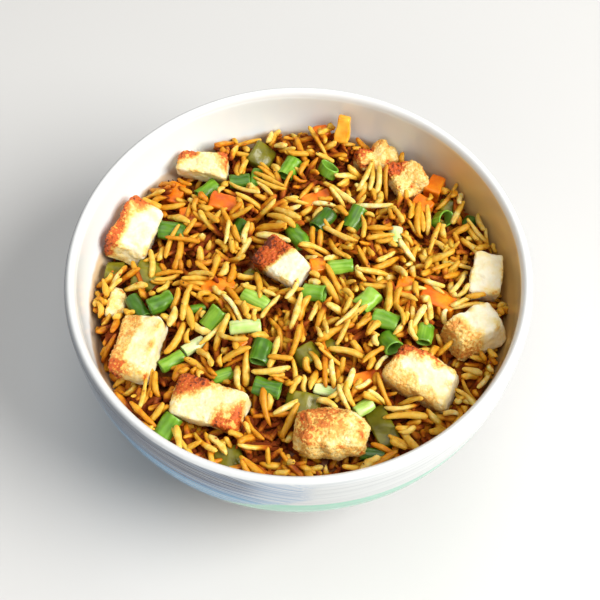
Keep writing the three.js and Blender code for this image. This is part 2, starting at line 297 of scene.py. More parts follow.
def bowlProfile():
    footTurn = math.acos((bowl["footOuter"] / bowl["rim"]) ** (bowl["outerFullness"] / 2))
    outer = wallPoints(np.linspace(footTurn, 0, 70), bowl["rim"], bowl["base"], bowl["outerFullness"])
    half = np.linspace(0, math.pi, 22)[1:]
    crown = bowl["rim"] - bowl["wall"] / 2
    lip = np.stack([crown + bowl["wall"] / 2 * np.cos(half), lipHeight + bowl["lipDepth"] * np.sin(half)], -1)
    inner = innerWall(np.linspace(0, quarterTurn, 80))[1:-1]
    return np.concatenate([footProfile(), outer, lip, inner, [[0, bowl["floor"]]]])


def footProfile():  # recess, then two quarter rounds under the foot ring
    rounding = bowl["footRounding"]
    quarter = np.linspace(0, quarterTurn, 6)
    inside = np.stack([
        bowl["footInner"] + rounding - rounding * np.cos(quarter),
        rounding - rounding * np.sin(quarter),
    ], -1)
    outside = np.stack([
        bowl["footOuter"] - rounding + rounding * np.sin(quarter),
        rounding - rounding * np.cos(quarter),
    ], -1)
    recess = [[out, bowl["recess"]] for out in (0, bowl["footInner"] * 0.5, bowl["footInner"] - 1)]
    return np.concatenate([recess, [[bowl["footInner"], bowl["recess"] - 1]], inside, outside])


glazeLook = {
    # white and outside are greyed copies of the one white glaze, painted shade; inside is a paler copy.
    "white": (0.75, 0.765, 0.765),
    "outside": (0.69, 0.71, 0.71),
    "slate": (0.030, 0.045, 0.085),
    "blue": (0.035, 0.095, 0.23),
    "pale": (0.30, 0.40, 0.55),
    "sky": (0.08, 0.38, 0.66),
    "grey": (0.45, 0.48, 0.50),
    "mint": (0.24, 0.64, 0.45),
    "paintedWarmShade": (0.80, 0.52, 0.15),  # painted shade on the right inner wall, warm as if lit by the rice
    # oil stains plus painted contact shadow, just above the rice
    "oilAndShadow": (0.66, 0.40, 0.12),
    "inside": (0.87, 0.93, 0.95),  # cooler than the white, since the rice warms it
}


# Outside, ink shows where two noises drawn out around the bowl and the way to the left sum high. Its lines
# dip as the square of the way toward the front. The stroke ends at a slanting edge, which noise makes
# ragged and which sweeps left lower down. Beyond it lies a band of mint with an uneven lower edge.
# Toward the left the ink is denser and darker: the stripes' own slate plus painted shade on the side away
# from the light. Inside, painted shade, warm as if lit by the rice, covers the right and fades toward the
# lip, and oil stains with a painted contact shadow darken the wall in patches, most of it low down. The
# lip's outer edge darkens with its radius at the left and back, slate paint plus painted shade, and its top
# is greyer toward the front left, painted shade.
def glazeFinish():
    look = glazeLook
    finish = Finish("glaze", rough=0.12, coat=0.1, coatRough=0.03, specular=0.4)
    x, y, z = finish.axes()
    painted = finish.attribute("painted")
    held = finish.attribute("held")
    dip = (x + 0.060).math("MAXIMUM", 0.0)
    sweep = (0.044 - z).math("MAXIMUM", 0.0) * 0.9
    strokeEnd = ((z.math("MINIMUM", 0.0555) - 0.0545) * 1.9 + 0.002).math("MAXIMUM", -0.0195 - sweep)
    ragged = finish.noise(30.0, 1.0, (0.0, 0.0, z * 70)) - 0.5
    stroke = (1 - (x - strokeEnd - ragged * 0.022).between(-0.003, 0.002)) * (1 - y.between(0.0, 0.03))
    level = z + dip * dip * stroke * 2.6
    streak = finish.noise(30.0, 3.0, (x * 0.4, y * 0.4, level * 30))
    fine = finish.noise(30.0, 1.0, (x * 0.6, y * 0.6, level * 80))
    hue = finish.noise(30.0, 2.0, (x * 0.4, y * 0.4, level * 50 + 3.0))
    # The ink grows denser and darker toward the left: its own slate plus painted shade on the side away from
    # the light.
    toLeft = (0.0 - x).between(-0.004, 0.046)
    low = 1 - z.between(0.047, 0.059)
    high = (z - toLeft * 0.002).between(0.058, 0.064)
    ink = (streak * 0.5 + fine * 0.5 + toLeft * 0.25 + high * toLeft * 0.08).between(0.42, 0.56)
    colour = finish.mix((z + toLeft * 0.009).between(0.056, 0.070), look["blue"], look["slate"])
    colour = finish.mix(hue.between(0.46, 0.60) * (0.8 - toLeft * 0.5), colour, look["pale"])
    colour = finish.mix(toLeft.between(0.1, 0.45), look["pale"], colour)
    colour = finish.mix(low * hue.between(0.36, 0.52), colour, look["sky"])
    colour = finish.mix(fine.between(0.54, 0.66) * (0.65 - toLeft * 0.3), colour, look["white"])
    thin = fine.between(0.50, 0.68) * 0.5
    glaze = finish.mix(thin * painted, finish.mix(painted, look["white"], look["outside"]), look["grey"])
    inked = stroke.math("MAXIMUM", (y + x * -0.6).between(0.0, 0.06))
    glaze = finish.mix(ink * painted * inked, glaze, colour)
    band = (1 - (z + x * 0.03).between(0.0498, 0.0505)) * (z + (streak - 0.5) * 0.04).between(0.030, 0.036)
    mint = band * (1 - stroke) * (1 - x.between(0.058, 0.074)) * (1 - y.between(-0.04, 0.0))
    glaze = finish.mix(mint * painted * (0.55 + streak * 0.7), glaze, look["mint"])
    glaze = finish.mix(held, glaze, look["inside"])
    # Painted shade: the right inner wall, turned from the light, is warm brown as if lit by the rice.
    fade = z.between(0.052, 0.066) * (0.15 + (0.0 - y).between(0.0, 0.03) * 0.45)
    shaded = (x + y * 0.1).between(0.046, 0.066) * (0.95 - fade)
    glaze = finish.mix(shaded * held, glaze, look["paintedWarmShade"])
    # Slate paint plus painted shade: the lip's outer edge darkens at the left and back, turned from the
    # light.
    edge = (x * x + y * y).math("SQRT").between(0.0781, 0.0799) * z.between(0.0640, 0.0655)
    glaze = finish.mix(edge * (y * 0.5 - x).between(-0.01, 0.03), glaze, look["slate"])
    # Painted shade: the lip's top is greyed toward the front left, on the side away from the light.
    lip = z.between(0.0645, 0.0665) * (0.0 - x - y).between(0.02, 0.09)
    glaze = finish.mix(lip * 0.35, glaze, look["grey"])
    # Oil stains plus painted contact shadow: brownish patches, mostly on the inner wall just above the rice.
    stainAndShadowBand = (1 - z.between(0.0445, 0.0505)) * held
    stainAndShadow = (finish.noise(90.0, 3.0) * 0.8 + stainAndShadowBand * 0.55).between(0.62, 1.0)
    finish.set(colour=finish.mix(stainAndShadow * 0.75, glaze, look["oilAndShadow"]))
    finish.bump(fine * painted, 0.1, 0.0002)
    return finish.material


def addBowl():  # its rows are painted outside, between foot and lip, and held inside, below the lip
    profile = bowlProfile()
    points, quads, triangles = turned(profile, bowl["around"])
    rows = len(profile) - 2
    top = int(np.argmax(profile[1:-1, 1]))
    row = np.arange(rows)
    isOuter = (row < top - 4) & (row > 16)
    isInner = row > top + 8
    layers = {
        "painted": np.append(np.repeat(isOuter, bowl["around"]), [0, 0]),
        "held": np.append(np.repeat(isInner, bowl["around"]), [0, 0]),
    }
    makePiece("bowl_glazed", points, quads, triangles, glazeFinish(), "bowl", layers)


addBowl()
print("bowl is made")

# Heap of rice: the same top as the frame's heap

heap = {
    "edge": 44.6,
    "dome": 5.2,
    "right": 0.025,
    "back": 0.02,
    "lump": 0.9,
    "clump": 3.6,  # height of the clump against the wall at the back
    "clumpAt": (12.5, 70.5),
    "clumpSize": 8.0,
    "coreSink": 4.8,  # the core's top lies this far below the heap's
    "gap": 0.4,
}


# A low dome, plus a slope to the back right, plus two crossing waves, plus a bell where the clump is.
def heapTop(x, y):
    share = (x * x + y * y) / innerRim**2
    lumps = np.sin(0.13 * x + 0.4) * np.cos(0.11 * y - 0.9) + 0.6 * np.sin(0.21 * y - 0.17 * x + 1.3)
    slope = heap["right"] * x + heap["back"] * y
    right, back = heap["clumpAt"]
    clump = heap["clump"] * np.exp(-((x - right) ** 2 + (y - back) ** 2) / (2 * heap["clumpSize"] ** 2))
    return heap["edge"] + heap["dome"] * (1 - share) + slope + heap["lump"] * lumps + clump


# Block, cut on all six sides into steps; its corners run from -1 to 1.
def blockGrid(steps):
    corners = []
    for axis in range(3):
        first, second = [a for a in range(3) if a != axis]
        for end in (0, steps[axis]):
            i, j = np.meshgrid(np.arange(steps[first]), np.arange(steps[second]), indexing="ij")
            face = np.zeros((4, i.size, 3), dtype=int)
            face[:, :, axis] = end
            for corner, (di, dj) in enumerate(((0, 0), (1, 0), (1, 1), (0, 1))):
                face[corner, :, first] = i.ravel() + di
                face[corner, :, second] = j.ravel() + dj
            outward = (axis != 1) == (end > 0)
            corners.append(face if outward else face[::-1])
    lattice = np.concatenate([c.transpose(1, 0, 2).reshape(-1, 3) for c in corners])
    places, quads = np.unique(lattice, axis=0, return_inverse=True)
    return 2 * places / np.array(steps) - 1, quads.reshape(-1, 4)


# Points pushed out of a cube onto a superellipsoid: |x|^n + |y|^n + |z|^n = 1.
def rounded(cube, squareness):
    return cube / (np.abs(cube) ** squareness).sum(-1, keepdims=True) ** (1 / squareness)


def posed(points, place, rest):  # roll about the length, pitch up, turn about Z, then up onto the heap
    roll, pitch, turn = (math.radians(place.get(key, 0)) for key in ("roll", "pitch", "turn"))
    cr, sr, cp, sp, ct, st = (f(a) for a in (roll, pitch, turn) for f in (math.cos, math.sin))
    aboutX = np.array([[1, 0, 0], [0, cr, -sr], [0, sr, cr]])
    aboutY = np.array([[cp, 0, -sp], [0, 1, 0], [sp, 0, cp]])
    aboutZ = np.array([[ct, -st, 0], [st, ct, 0], [0, 0, 1]])
    x, y = place["at"]
    lift = place.get("lift", rest)
    return points @ (aboutZ @ aboutY @ aboutX).T + np.array([x, y, heapTop(x, y) + lift])


# Toppings

toppingTops = []  # points of all toppings, and how much the rice keeps off each


def lying(at, size, turn, **more):  # a block's values, in mm and degrees
    return {"at": at, "size": size, "turn": turn, **more}


def tube(at, long, wide, turn, tone, **more):  # tone runs from 0, dark green, to 1, white
    return {"at": at, "long": long, "wide": wide, "turn": turn, "tone": tone, **more}


# Pieces of one kind. The rice keeps off them by clear, from 0 to 1, or by what their own values say.
def addToppings(kind, ending, places, shape, seed, material, clear):
    for step, (name, place) in enumerate(places.items()):
        points, quads, layers = shape(place, seed + step)
        toppingTops.append((points, place.get("clear", clear)))
        node = kind + "_" + name
        makePiece(node + ending, points, quads, [], material, node, layers)


def addScraps(kind, scraps, shape, seed, material, clear):  # small pieces on the rice, as one mesh
    parts = [shape(place, seed + step, True) for step, place in enumerate(scraps.values())]
    points, quads, layers = zip(*parts)
    allPoints = np.concatenate(points)
    allQuads = np.concatenate([q + step * len(points[0]) for step, q in enumerate(quads)])
    allLayers = {key: np.concatenate([layer[key] for layer in layers]) for key in layers[0]}
    toppingTops.append((allPoints, clear))
    makePiece(kind + "_scraps", allPoints, allQuads, [], material, "rice_heap", allLayers)


# Fried cheese

# crusts lists sides that browned, each as a direction in the piece's own length, width and height, the
# share left bare and the most that it browned. gold is how golden the rest is.
cheeseCubes = {
    "back_left": lying(
        (-35.2, 54.9), (19.5, 9.5, 9), -9, roll=16, lift=4.4, gold=0.13,
        crusts=[((1.0, 0.4, 0.3), 0.75, 0.7), ((-0.9, 0.4, 0.4), 0.75, 0.6)],
    ),
    "left_upper": lying(
        (-59.2, 26.8), (23, 15, 11.5), 68, roll=12, lift=3.6, gold=0.06,
        crusts=[((-0.3, 1.0, 0.2), 0.42, 0.78), ((1.0, 0.5, 0.2), 0.75, 0.6), ((-1.0, 0.2, 0.1), 0.8, 0.6)],
    ),
    "left_lower": lying(
        (-56, -22.5), (24, 15, 9.5), 78, roll=-10, lift=3, gold=0.1,
        crusts=[((-0.8, 0.4, 0.2), 0.5, 0.8), ((0.2, 1.0, 0.1), 0.0, 0.42)],
    ),
    "front_left": lying(
        (-29.5, -43.5), (26, 15, 8), -19, roll=10, lift=3, gold=0.12,
        crusts=[((-0.8, 0.8, 0.3), 0.6, 0.85), ((0.9, -0.5, 0.3), 0.6, 0.7)],
    ),
    "centre": lying(
        (-6, 11), (18.5, 12.5, 11.5), -42, roll=14, pitch=6, lift=3.6, gold=0,
        crusts=[((-1.8, 0.4, 0.5), -0.05, 1.0)],
    ),
    "back_right": lying(
        (28.5, 59.8), (16, 9.5, 8), 12, roll=14, lift=2.4, gold=0.32, round=4, lump=1.1, clear=0.25,
        crusts=[((-0.7, 0.6, 0.4), 0.3, 1.0)],
    ),
    "back_right_small": lying(
        (39.4, 48.8), (13.5, 14, 9), 30, roll=10, lift=2.8, gold=0.32, round=3.6, lump=1.1, clear=0.45,
        crusts=[((-0.2, 1.0, 0.4), 0.35, 1.0)],
    ),
    "right_upper": lying(
        (66.4, 7.2), (17, 10.5, 9), 80, pitch=12, lift=3.2, gold=0.03, round=9, crusts=[],
    ),
    "right_lower": lying(
        (60.5, -16), (20, 13.5, 11.5), 28, roll=-8, lift=3.4, gold=0.04,
        crusts=[((-1.0, -0.3, 0.1), 0.15, 0.42)],
    ),
    "front_right": lying(
        (42, -34), (24, 15.5, 12.5), -31, roll=12, lift=3.8, gold=0.07,
        crusts=[((-0.2, 1.0, 0.4), 0.8, 0.75), ((-0.5, -0.9, 0), 0.15, 0.34), ((-1.0, 0.6, 0.3), 0.9, 1.0)],
    ),
    "front": lying(
        (11.5, -54.5), (25, 16.5, 12), -4, lift=3.4, gold=0.32, round=3.4, lump=0.7,
        crusts=[((-0.4, 0.3, 0.9), 0.5, 0.5)],
    ),
    "flake": lying(
        (-65, -1), (12, 6.5, 3.2), 82, roll=14, lift=1.6, gold=0.25, round=3.4, crusts=[],
    ),
}

cheeseLook = {
    "squareness": 8,
    "steps": 40,  # along the longest side
    "shrink": 0.965,
    "rest": 3,  # mm from the heap's top to the middle
    "skew": 0.1,
    "lump": 0.32,  # mm
    "lumpSize": 8.0,
    "pit": 0.12,
    "pitSize": 2.2,
    "crumb": 0.3,
    "edge": 0.22,  # how much more the edges brown
    "spread": 1.25,  # the higher, the narrower the golden part beside a crust
    "stops": [
        (0.00, (0.88, 0.83, 0.64)),
        (0.14, (0.86, 0.70, 0.31)),
        (0.36, (0.83, 0.51, 0.11)),
        (0.64, (0.76, 0.30, 0.030)),
        (0.90, (0.52, 0.12, 0.012)),
        (1.00, (0.28, 0.045, 0.008)),
    ],
    "spot": (0.56, 0.085, 0.008),
    "char": (0.07, 0.012, 0.005),
}


# White through golden to brown with the layer fried and noise, then sharp red-brown spots where fine noise
# plus that layer is high, charred in the middle, and a few dark specks. The bump grows with the layer.
def cheeseFinish():
    finish = Finish("fried_cheese", specular=0.4, under=0.25, underScale=0.002, underRadius=(1.0, 0.75, 0.5))
    fried = finish.attribute("fried")
    patch = finish.noise(210, 3.0)
    crumbs = finish.noise(900, 3.0)
    grit = finish.noise(1500, 2.0)
    gate = fried.between(0.05, 0.30)
    tone = fried * 0.85 + (patch - 0.5) * (gate * 0.3 + 0.28)
    colour = finish.ramp(tone + (crumbs - 0.5) * (gate * 0.5 + 0.12), cheeseLook["stops"])
    spots = crumbs * 0.6 + grit * 0.4 + (patch - 0.5) * 0.7 + fried * 0.3
    crusty = fried.between(0.22, 0.62)
    colour = finish.mix(spots.between(0.59, 0.66) * crusty * 0.9, colour, cheeseLook["spot"])
    colour = finish.mix(spots.between(0.78, 0.88) * crusty * 0.85, colour, cheeseLook["char"])
    speck = finish.noise(900, 1.0).between(0.78, 0.82) * patch.between(0.5, 0.58)
    finish.set(colour=finish.mix(speck * 0.8, colour, cheeseLook["char"]))
    finish.set(rough=0.42 + crumbs * 0.2)
    finish.bump(crumbs * (0.4 + gate) + grit * (0.3 + gate * 0.4), 0.8, 0.0006)
    return finish.material


# A rounded block made uneven by shears of its own, pushed out along its radius by long waves, short pits
# and, where it is fried, crumbs.
def cheeseShape(place, seed):
    look = cheeseLook
    longest = max(place["size"])
    steps = [max(8, round(look["steps"] * side / longest)) for side in place["size"]]
    cube, quads = blockGrid(steps)
    unit = rounded(cube, place.get("round", look["squareness"]))
    shear = np.random.default_rng(seed).uniform(-look["skew"], look["skew"], (3, 3))
    bent = unit * (1 + unit[:, [1, 2, 0]] @ shear)
    local = bent * np.array(place["size"]) / 2 * look["shrink"]
    outward = local / np.linalg.norm(local, axis=1, keepdims=True)
    inward = np.sort(np.abs(cube), axis=1)[:, 1]
    atEdge = np.clip(inward * 3 - 2, 0, 1)
    uneven = 0.4 + wobble(local, 5.0, seed + 4)
    fried = place["gold"] + look["edge"] * atEdge * uneven
    for side, bare, most in place["crusts"]:
        browned = unit @ np.array(side) - bare + 0.1 * wobble(local, 6.0, seed + 3)
        fried = np.maximum(fried, np.minimum(browned * look["spread"], most))
    push = place.get("lump", look["lump"]) * wobble(local, look["lumpSize"], seed)
    push += look["pit"] * wobble(local, look["pitSize"], seed + 1, 24)
    push += look["crumb"] * wobble(local, 1.1, seed + 2, 30) * np.clip(fried * 2, 0, 1)
    points = posed(local + outward * push[:, None], place, look["rest"])
    return points, quads, {"fried": np.clip(fried, 0, 1)}


addToppings("cheese", "_fried", cheeseCubes, cheeseShape, 20, cheeseFinish(), 1)
print("cheese is made")

# Carrot

carrotPieces = {
    "back": lying((16.6, 67.6), (9.5, 5, 4.8), 78, pitch=60, lift=6.4, clear=0.3, pale=0.4),
    "left_outer": lying((-46.5, 45), (9.5, 7, 6), 70, lift=0.1),
    "left_inner": lying((-27.6, 38.2), (10.5, 7, 6), -18, lift=0.5, clear=0.9),
    "middle_left": lying((-28.6, 2.8), (12, 5.5, 5), 12, lift=0.1, clear=0.9),
    "back_right_outer": lying((50.6, 46.2), (8, 6, 6.5), 62, lift=1.3, clear=0.9),
    "back_right_inner": lying((45.4, 37.4), (7, 6, 5.5), -38, lift=0.5),
    "right": lying((49, -2.5), (13, 7.5, 6), -26, lift=0.2, clear=0.9),
    "right_inner": lying((37.4, 2), (9.5, 6, 5.5), 75, lift=-0.1),
    "centre": lying((7, 9.6), (5.6, 5.6, 5), 8, lift=0.3),
    "left_lower": lying((-39.4, 34.4), (9, 6.5, 5.5), 10, lift=0.3),
    "middle_back": lying((6.5, 40.5), (11.5, 5, 5), 26, lift=-0.2),
    "front": lying((23.5, -33.5), (11, 5, 5), 20, lift=-0.2),
}

carrotScraps = {
    "back": lying((8.6, 69), (6, 5, 5), 20, lift=0.8),
    "frontLeft": lying((-19.4, -20), (4.2, 3.6, 3.4), 35, lift=0.6),
}

carrotLook = {
    "steps": (14, 10, 10),
    "scrapSteps": (8, 6, 6),
    "squareness": 14,
    "taper": 0.18,
    "lump": 0.22,  # mm
    "lumpSize": 5,
    "stops": [
        (0.25, (0.52, 0.070, 0.002)),
        (0.50, (0.76, 0.17, 0.003)),
        (0.78, (0.94, 0.36, 0.012)),
        (1.00, (0.95, 0.56, 0.06)),
    ],
}


def carrotFinish():  # dark to light orange with noise plus the layer pale
    finish = Finish("carrot", rough=0.36, specular=0.4, under=0.3)
    finish.set(underScale=0.002, underRadius=(1, 0.3, 0.08))
    tone = finish.noise(140, 3.0) + finish.attribute("pale")
    finish.set(colour=finish.ramp(tone, carrotLook["stops"]))
    finish.bump(finish.noise(700, 3.0), 0.3, 0.0004)
    return finish.material


# A nearly sharp block, narrower at one end, pushed out along its radius by waves.
def carrotShape(place, seed, scrap=False):
    look = carrotLook
    cube, quads = blockGrid(look["scrapSteps" if scrap else "steps"])
    local = rounded(cube, look["squareness"]) * np.array(place["size"]) / 2
    taper = 1 - look["taper"] * local[:, :1] / place["size"][0]
    local = local * np.concatenate([np.ones_like(taper), taper, taper], 1)
    outward = local / np.linalg.norm(local, axis=1, keepdims=True)
    local += outward * look["lump"] * wobble(local, look["lumpSize"], seed)[:, None]
    return posed(local, place, 0), quads, {"pale": np.full(len(local), place.get("pale", 0.0))}


carrot = carrotFinish()
addToppings("carrot", "_cut", carrotPieces, carrotShape, 60, carrot, 0.4)
addScraps("carrot", carrotScraps, carrotShape, 90, carrot, 0.6)
print("carrot is made")

# Green pepper

pepperPieces = {
    "back": lying((-13.8, 62), (10.5, 9, 3.2), 66, roll=30, lift=2.4, clear=1),
    "left": lying((-54, 9.6), (12, 9.5, 3.2), 72, roll=12, lift=1.4),
    "left_edge": lying((-66.5, 12), (8.5, 6.5, 3), 84, lift=1.1),
    "centre": lying((3, -24.5), (8.5, 7, 3), 34, roll=10, lift=1.1),
    "front_left": lying((-23, -61), (9.5, 8, 3.2), 12, roll=10, lift=1.5),
    "front": lying((1.5, -42.5), (12, 8, 3), -12, roll=12, lift=1),
    "right": lying((55.2, 38.2), (7, 5, 3), -22, roll=16, lift=1.4),
    "front_right": lying((28, -50), (15, 7.5, 3.2), -66, roll=14, lift=1.5),
}

pepperScraps = {
    "left": lying((-17.4, 8.2), (4.4, 3.4, 2.4), 40, bow=0.3, lift=0.5),
    "front": lying((10.9, -20.6), (6, 4.4, 2.4), -30, bow=0.5, lift=0.5),
}

pepperLook = {
    "steps": (20, 14, 6),
    "scrapSteps": (8, 6, 4),
    "squareness": 9,
    "bow": 1.6,  # mm that the ends lie below the middle
    "lump": 0.25,  # mm
    "lumpSize": 5,
    "stops": [(0.25, (0.07, 0.065, 0.003)), (0.5, (0.17, 0.155, 0.006)), (0.8, (0.34, 0.29, 0.015))],
}


def pepperFinish():  # dark to olive green with noise
    finish = Finish("green_pepper", rough=0.3, specular=0.4, under=0.1)
    finish.set(underScale=0.002, underRadius=(0.6, 1, 0.1))
    finish.set(colour=finish.ramp(finish.noise(110, 3.0), pepperLook["stops"]))
    finish.bump(finish.noise(800, 3.0), 0.35, 0.0004)
    return finish.material


# A thin block, bowed down along its length as the square of the way from its middle, and made uneven.
def pepperShape(place, seed, scrap=False):
    look = pepperLook
    cube, quads = blockGrid(look["scrapSteps" if scrap else "steps"])
    local = rounded(cube, look["squareness"]) * np.array(place["size"]) / 2
    local[:, 2] -= place.get("bow", look["bow"]) * (2 * local[:, 0] / place["size"][0]) ** 2
    local[:, 2] += look["lump"] * wobble(local, look["lumpSize"], seed)
    return posed(local, place, 0), quads, {}


pepper = pepperFinish()
addToppings("pepper", "_cut", pepperPieces, pepperShape, 80, pepper, 0.4)
addScraps("pepper", pepperScraps, pepperShape, 90, pepper, 0.6)
print("green pepper is made")

# Spring onion

onionRings = {
    "back_left": tube((-34, 45.6), 8, 6, 42, 0.42),
    "back_dark": tube((-22, 48.6), 7, 5.6, 6, 0.25),
    "back": tube((-3.5, 54), 8, 6.6, 62, 0.45),
    "back_hoop": tube((11, 53), 3.4, 7.6, 40, 0.4, pitch=58, lift=2.6),
    "left_large": tube((-46, 26.6), 9, 7.4, -10, 0.3),
    "centre_dark": tube((-0.4, 22.6), 8.5, 6.2, -58, 0.35),
    "middle_back": tube((9, 30.4), 8.5, 6.2, 52, 0.15),
    "middle_open": tube((20.5, 31), 8.5, 6.6, 60, 0.3, pitch=18),
    "pale_right": tube((35, 23), 6.5, 5.2, 88, 0.85),
    "right_hoop": tube((52.6, 31.2), 4.2, 7.8, -30, 0.4, pitch=56, lift=2.8),
    "centre_right": tube((14.8, 9.2), 8.6, 5.4, 6, 0.55),
    "centre_open": tube((5.4, -1.4), 7.5, 6.4, -14, 0.45, pitch=14),
    "centre_left": tube((-15, -3.5), 10, 5.8, -32, 0.6),
    "left_dark": tube((-56.8, -4.4), 9.5, 5.4, -56, 0.15),
    "left_square": tube((-48.5, -3.5), 8.5, 6.6, 28, 0.35),
    "middle_left_open": tube((-29.4, -10.6), 7.5, 7.2, 48, 0.5, pitch=26),
    "striped": tube((-18.5, -14.5), 10.5, 5.2, 7, 0.8),
    "slice_green": tube((-43.6, -25.4), 8.6, 4.8, 34, 0.5),
    "slice_pale": tube((-36.2, -20), 7.8, 4.4, 36, 0.9),
    "front_upper": tube((-13, -24), 8, 6.8, 74, 0.25),
    "front_middle": tube((-10.5, -37.5), 8.8, 6.6, -16, 0.3),
    "front_left": tube((-43.6, -49.8), 7.5, 6.8, 54, 0.4, pitch=20),
    "right_pale": tube((24, -4.6), 8, 7.2, 48, 0.6),
    "right_green": tube((30.2, -12), 8.8, 6.6, -22, 0.5),
    "right_open": tube((31.2, -20.7), 7.6, 6.8, -66, 0.35, pitch=26),
    "right_small": tube((43.6, -17.2), 6.4, 6.2, 78, 0.45),
}

onionScraps = {
    "edge": tube((62.5, 31), 5, 5, 60, 0.1),
    "back": tube((-16.4, 50), 8, 4, 76, 0.4),
    "middle": tube((-22, 28), 6, 5, 70, 0.15),
    "left": tube((-36, -5.6), 6.5, 3.4, 10, 0.35),
    "curl": tube((-26, -31.5), 7, 4.6, 22, 0.5),
    "frontRight": tube((22, -44), 6.5, 4.8, 34, 0.7),
    "frontEdge": tube((24.5, -60), 7.5, 4.6, -6, 0.1),
    "frontPale": tube((9, -37.6), 7, 4, -16, 0.9),
}

onionLook = {
    "wall": 0.75,
    "flat": 0.74,  # height over width
    "around": 36,
    "along": 12,
    "rim": 4,
    "ripple": 0.14,
    "rest": 0.33,  # height of the middle over the heap's top, as a share of the width
    "scrapRest": 0.2,
    "within": (0.26, 0.52, 0.07),
    "stops": [
        (0.00, (0.020, 0.055, 0.003)),
        (0.28, (0.055, 0.155, 0.006)),
        (0.48, (0.145, 0.33, 0.014)),
        (0.70, (0.34, 0.56, 0.07)),
        (0.95, (0.70, 0.80, 0.40)),
    ],
}


# Dark green to nearly white with the layer tone, streaked along by the layer fibre and clouded by noise.
def onionFinish():
    finish = Finish("spring_onion", rough=0.3, specular=0.5, under=0.2)
    finish.set(underScale=0.0015, underRadius=(0.5, 1, 0.15))
    fibre = finish.attribute("fibre")
    patch = finish.noise(170, 2.0)
    tone = finish.attribute("tone") + 0.04 + (fibre - 0.5) * 0.13 + (patch - 0.5) * 0.5
    skin = finish.ramp(tone, onionLook["stops"])
    finish.set(colour=finish.mix(finish.attribute("inside") * 0.45, skin, onionLook["within"]))
    finish.bump(fibre, 0.12, 0.0002)
    return finish.material


# A tube pressed to an oval: round the section go the outer skin, the cut end, the inner skin and the
# other cut end, and a ripple along the length makes the skin uneven.
def onionShape(place, seed, scrap=False):
    look = onionLook
    half = place["long"] / 2
    outer = place["wide"] / 2
    inner = outer - look["wall"]
    along = np.linspace(-half, half, look["along"])
    across = np.linspace(0, 1, look["rim"] + 2)[1:-1]
    bulge = 0.25 * np.sin(math.pi * across)
    section = np.concatenate([
        np.stack([along, np.full_like(along, outer)], -1),
        np.stack([half + bulge, outer + (inner - outer) * across], -1),
        np.stack([along[::-1], np.full_like(along, inner)], -1),
        np.stack([-half - bulge, inner + (outer - inner) * across], -1),
    ])
    angle = circle(look["around"])
    x = np.repeat(section[:, :1], look["around"], 1)
    y = section[:, 1:] * np.cos(angle)
    z = section[:, 1:] * np.sin(angle) * look["flat"]
    points = np.stack([x, y, z], -1).reshape(-1, 3)
    points += look["ripple"] * wobble(points, 4.5, seed)[:, None] * points * np.array([0.1, 0.5, 0.5])
    points[:, 2] += 0.012 * points[:, 0] ** 2 * math.sin(seed)
    rows = len(section)
    quads = gridQuads(rows + 1, look["around"], True) % (rows * look["around"])
    isInner = np.zeros(rows)
    isInner[len(along):] = 1
    fibre = np.random.default_rng(seed).uniform(0, 1, look["around"])
    layers = {
        "inside": np.repeat(isInner, look["around"]),
        "fibre": np.tile(fibre, rows),
        "tone": np.full(rows * look["around"], place["tone"]),
    }
    rest = look["scrapRest" if scrap else "rest"] * place["wide"]
    return posed(points, place, rest), quads, layers


onion = onionFinish()
addToppings("onion", "_cut", onionRings, onionShape, 120, onion, 1)
addScraps("onion", onionScraps, onionShape, 170, onion, 0.8)
print("spring onion is made")

# Rice grains, dropped one by one on a map of heights

rice = {
    "seed": 11,
    "lower": 3850,  # tries, not all of which find room
    "upper": 2300,
    "planted": 260,
    "broken": 1500,
    "brokenShare": 0.45,  # of a whole grain's length
    "length": (5.5, 15.0),
    "width": (1.7, 2.75),
    "press": 0.1,  # share of its radius at which a grain rests on what is under it
    "sink": 2.4,  # mm, at most, that a grain settles between its neighbours
    "lean": 0.33,  # slope, as a deviation, that it tips by as it settles
    "bow": 1.15,
    "steepest": 1.0,  # slope
    "plantedSlope": (0.5, 1.1),
    "plantedSink": 0.4,  # mm that a planted grain's middle lies below the tops
    "plantedProud": 1.2,
    "relief": 1.2,  # mm that clumps rise and hollows fall
    "reliefSize": 17.0,
    "bundled": 0.45,  # share of the grains that lie beside another, one of the last laid
    "last": 400,
    "besideTurn": 0.22,  # radians between the two, as a deviation
    "besideShift": 4,  # mm, at most, that one is farther along
    "besideGap": (0.7, 1.2),  # widths of a grain between their middles
    "lowerProud": -1.1,  # mm that a lower grain's middle may lie above the heap
    "proud": 2.0,
    "overProud": 2.0,  # mm more for a grain that crosses a topping
    "overMost": 0.2,  # share of a grain that may cross toppings
    "within": 74.0,  # mm from the bowl's middle
    "plantedWithin": 71.0,
    "margin": 0.3,  # mm kept off the bowl's wall
    "tries": 6,
    "reach": 1.5,  # mm around a point in which the highest top counts
    "dark": 5.0,  # mm below that top at which the painted shade between grains is darkest
    "hollows": [(26.2, 10.0, 2.4), (55.4, -27.3, 2.6), (-26.0, 50.0, 2.0), (14.0, 47.0, 2.0)],
}

specks = {
    "seed": 5,
    "count": 130,
    "size": (0.25, 0.85),  # mm
    "within": 72,  # mm from the bowl's middle
    "sink": 0.05,
    "stops": [(0.2, (0.05, 0.010, 0.003)), (0.5, (0.24, 0.035, 0.004)), (1.0, (0.62, 0.13, 0.01))],
}

mapStep = 0.5
mapHalf = 80.0
mapCells = int(2 * mapHalf / mapStep) + 1


def mapIndex(values):
    return np.clip(np.rint((values + mapHalf) / mapStep).astype(int), 0, mapCells - 1)


# Half thickness of a grain at s, from -1 to 1 along it: even for most of its length, with blunt ends.
def grainSwell(s):
    return np.sqrt(np.maximum(0, 1 - np.abs(s) ** 6))


